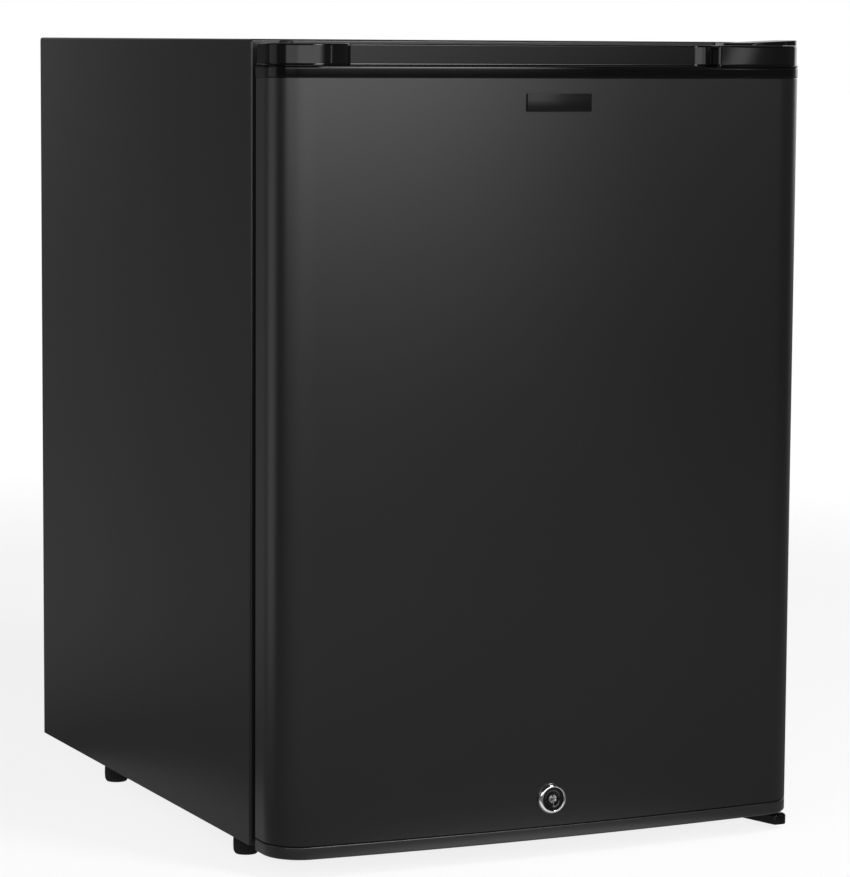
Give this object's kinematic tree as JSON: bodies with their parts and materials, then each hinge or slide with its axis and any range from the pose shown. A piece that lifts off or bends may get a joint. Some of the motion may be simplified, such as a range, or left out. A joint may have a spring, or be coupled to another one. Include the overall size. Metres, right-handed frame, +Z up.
{
  "type": "minibar fridge",
  "caption": "Small black absorption fridge with a bowed locking door, finger recess, levelling feet, wire shelves, door racks and an open rear cooling unit.",
  "frame": {"origin": "on the floor under the middle of the fridge", "axes": "+Z up, the door faces -Y, +X to the right of someone facing the door"},
  "size_m": [0.4034, 0.492, 0.5625],
  "materials": {
    "painted_steel": "satin black powder coat",
    "grained_steel": "black steel with a fine grain, low sheen",
    "gloss_black": "polished black",
    "black_plastic": "matt black",
    "black_rubber": "soft matt black",
    "white_plastic": "smooth white",
    "milky_plastic": "milky and smooth",
    "foam": "cut rigid foam",
    "zinc_steel": "zinc plated",
    "chrome": "bright chrome",
    "aluminium": "bare sheet",
    "coated_wire": "white coated",
    "unit_steel": "matt black"
  },
  "bodies": {
    "cabinet": {"cabinet_shell": "painted_steel", "base_pan": "painted_steel", "rear_brace": "painted_steel", "lower_hinge_bracket": "painted_steel", "upper_hinge_cover": "gloss_black", "terminal_box": "black_plastic", "mains_inlet": "black_plastic", "condensate_tray": "black_plastic", "inner_liner": "white_plastic", "control_housing": "white_plastic", "drip_channel": "white_plastic", "drain_tube": "white_plastic", "switch_body": "white_plastic", "lamp_lens": "milky_plastic", "cabinet_foam": "foam", "rear_bulkhead": "zinc_steel", "upper_hinge_bracket": "zinc_steel", "upper_hinge_screw_inner": "zinc_steel", "upper_hinge_screw_outer": "zinc_steel", "lower_hinge_screw_inner": "zinc_steel", "lower_hinge_screw_outer": "zinc_steel", "strike_plate": "zinc_steel", "strike_screw_upper": "zinc_steel", "strike_screw_lower": "zinc_steel", "boiler_case": "zinc_steel", "upper_hinge_pin": "chrome", "lower_hinge_pin": "chrome", "evaporator_fins": "aluminium", "condenser_fins": "aluminium", "evaporator_pipe": "unit_steel", "rectifier_tube": "unit_steel", "condenser_tube": "unit_steel", "heat_exchanger_tube": "unit_steel", "absorber_coil": "unit_steel", "absorber_vessel": "unit_steel"},
    "door": {"door_skin": "grained_steel", "door_foam": "foam", "door_liner": "white_plastic", "door_top_trim": "gloss_black", "door_bottom_trim": "gloss_black", "door_gasket": "black_rubber", "bottle_rack_upper": "milky_plastic", "bottle_rack_middle": "milky_plastic", "bottle_rack_lower": "milky_plastic", "badge_plate": "gloss_black", "upper_hinge_bush": "white_plastic", "lower_hinge_bush": "white_plastic", "lock_housing": "chrome", "lock_nut": "zinc_steel"},
    "lock_plug": {"lock_core": "chrome", "lock_cam": "zinc_steel", "lock_cam_screw": "zinc_steel"},
    "thermostat_dial": {"thermostat_dial": "white_plastic"},
    "switch_plunger": {"switch_plunger": "white_plastic"},
    "upper_shelf": {"upper_shelf": "coated_wire"},
    "lower_shelf": {"lower_shelf": "coated_wire"},
    "foot_front_left": {"foot_front_left": "black_rubber"},
    "foot_front_right": {"foot_front_right": "black_rubber"},
    "foot_rear_left": {"foot_rear_left": "black_rubber"},
    "foot_rear_right": {"foot_rear_right": "black_rubber"}
  },
  "joints": [
    {"name": "door_hinge", "type": "hinge", "parent": "cabinet", "child": "door", "pos_m": [0.187, -0.214, 0.016], "axis": [0, 0, 1], "range_deg": [0, 120]},
    {"name": "lock_turn", "type": "hinge", "parent": "door", "child": "lock_plug", "pos_m": [0, -0.2, 0.043], "axis": [0, -1, 0], "range_deg": [0, 90]},
    {"name": "dial_turn", "type": "hinge", "parent": "cabinet", "child": "thermostat_dial", "pos_m": [0.1307, -0.068, 0.4852], "axis": [-1, 0, 0], "range_deg": [0, 270]},
    {"name": "switch_slide", "type": "slide", "parent": "cabinet", "child": "switch_plunger", "axis": [0, -1, 0], "range_m": [0, 0.0042]},
    {"name": "upper_shelf_slide", "type": "slide", "parent": "cabinet", "child": "upper_shelf", "axis": [0, -1, 0], "range_m": [0, 0.04]},
    {"name": "lower_shelf_slide", "type": "slide", "parent": "cabinet", "child": "lower_shelf", "axis": [0, -1, 0], "range_m": [0, 0.04]},
    {"name": "foot_front_left_thread", "type": "slide", "parent": "cabinet", "child": "foot_front_left", "axis": [0, 0, -1], "range_m": [0, 0.01]},
    {"name": "foot_front_right_thread", "type": "slide", "parent": "cabinet", "child": "foot_front_right", "axis": [0, 0, -1], "range_m": [0, 0.01]},
    {"name": "foot_rear_left_thread", "type": "slide", "parent": "cabinet", "child": "foot_rear_left", "axis": [0, 0, -1], "range_m": [0, 0.01]},
    {"name": "foot_rear_right_thread", "type": "slide", "parent": "cabinet", "child": "foot_rear_right", "axis": [0, 0, -1], "range_m": [0, 0.01]}
  ],
  "couplings": [
    {"joint": "switch_slide", "follows": "door_hinge", "m_per_rad": 0.0019}
  ]
}
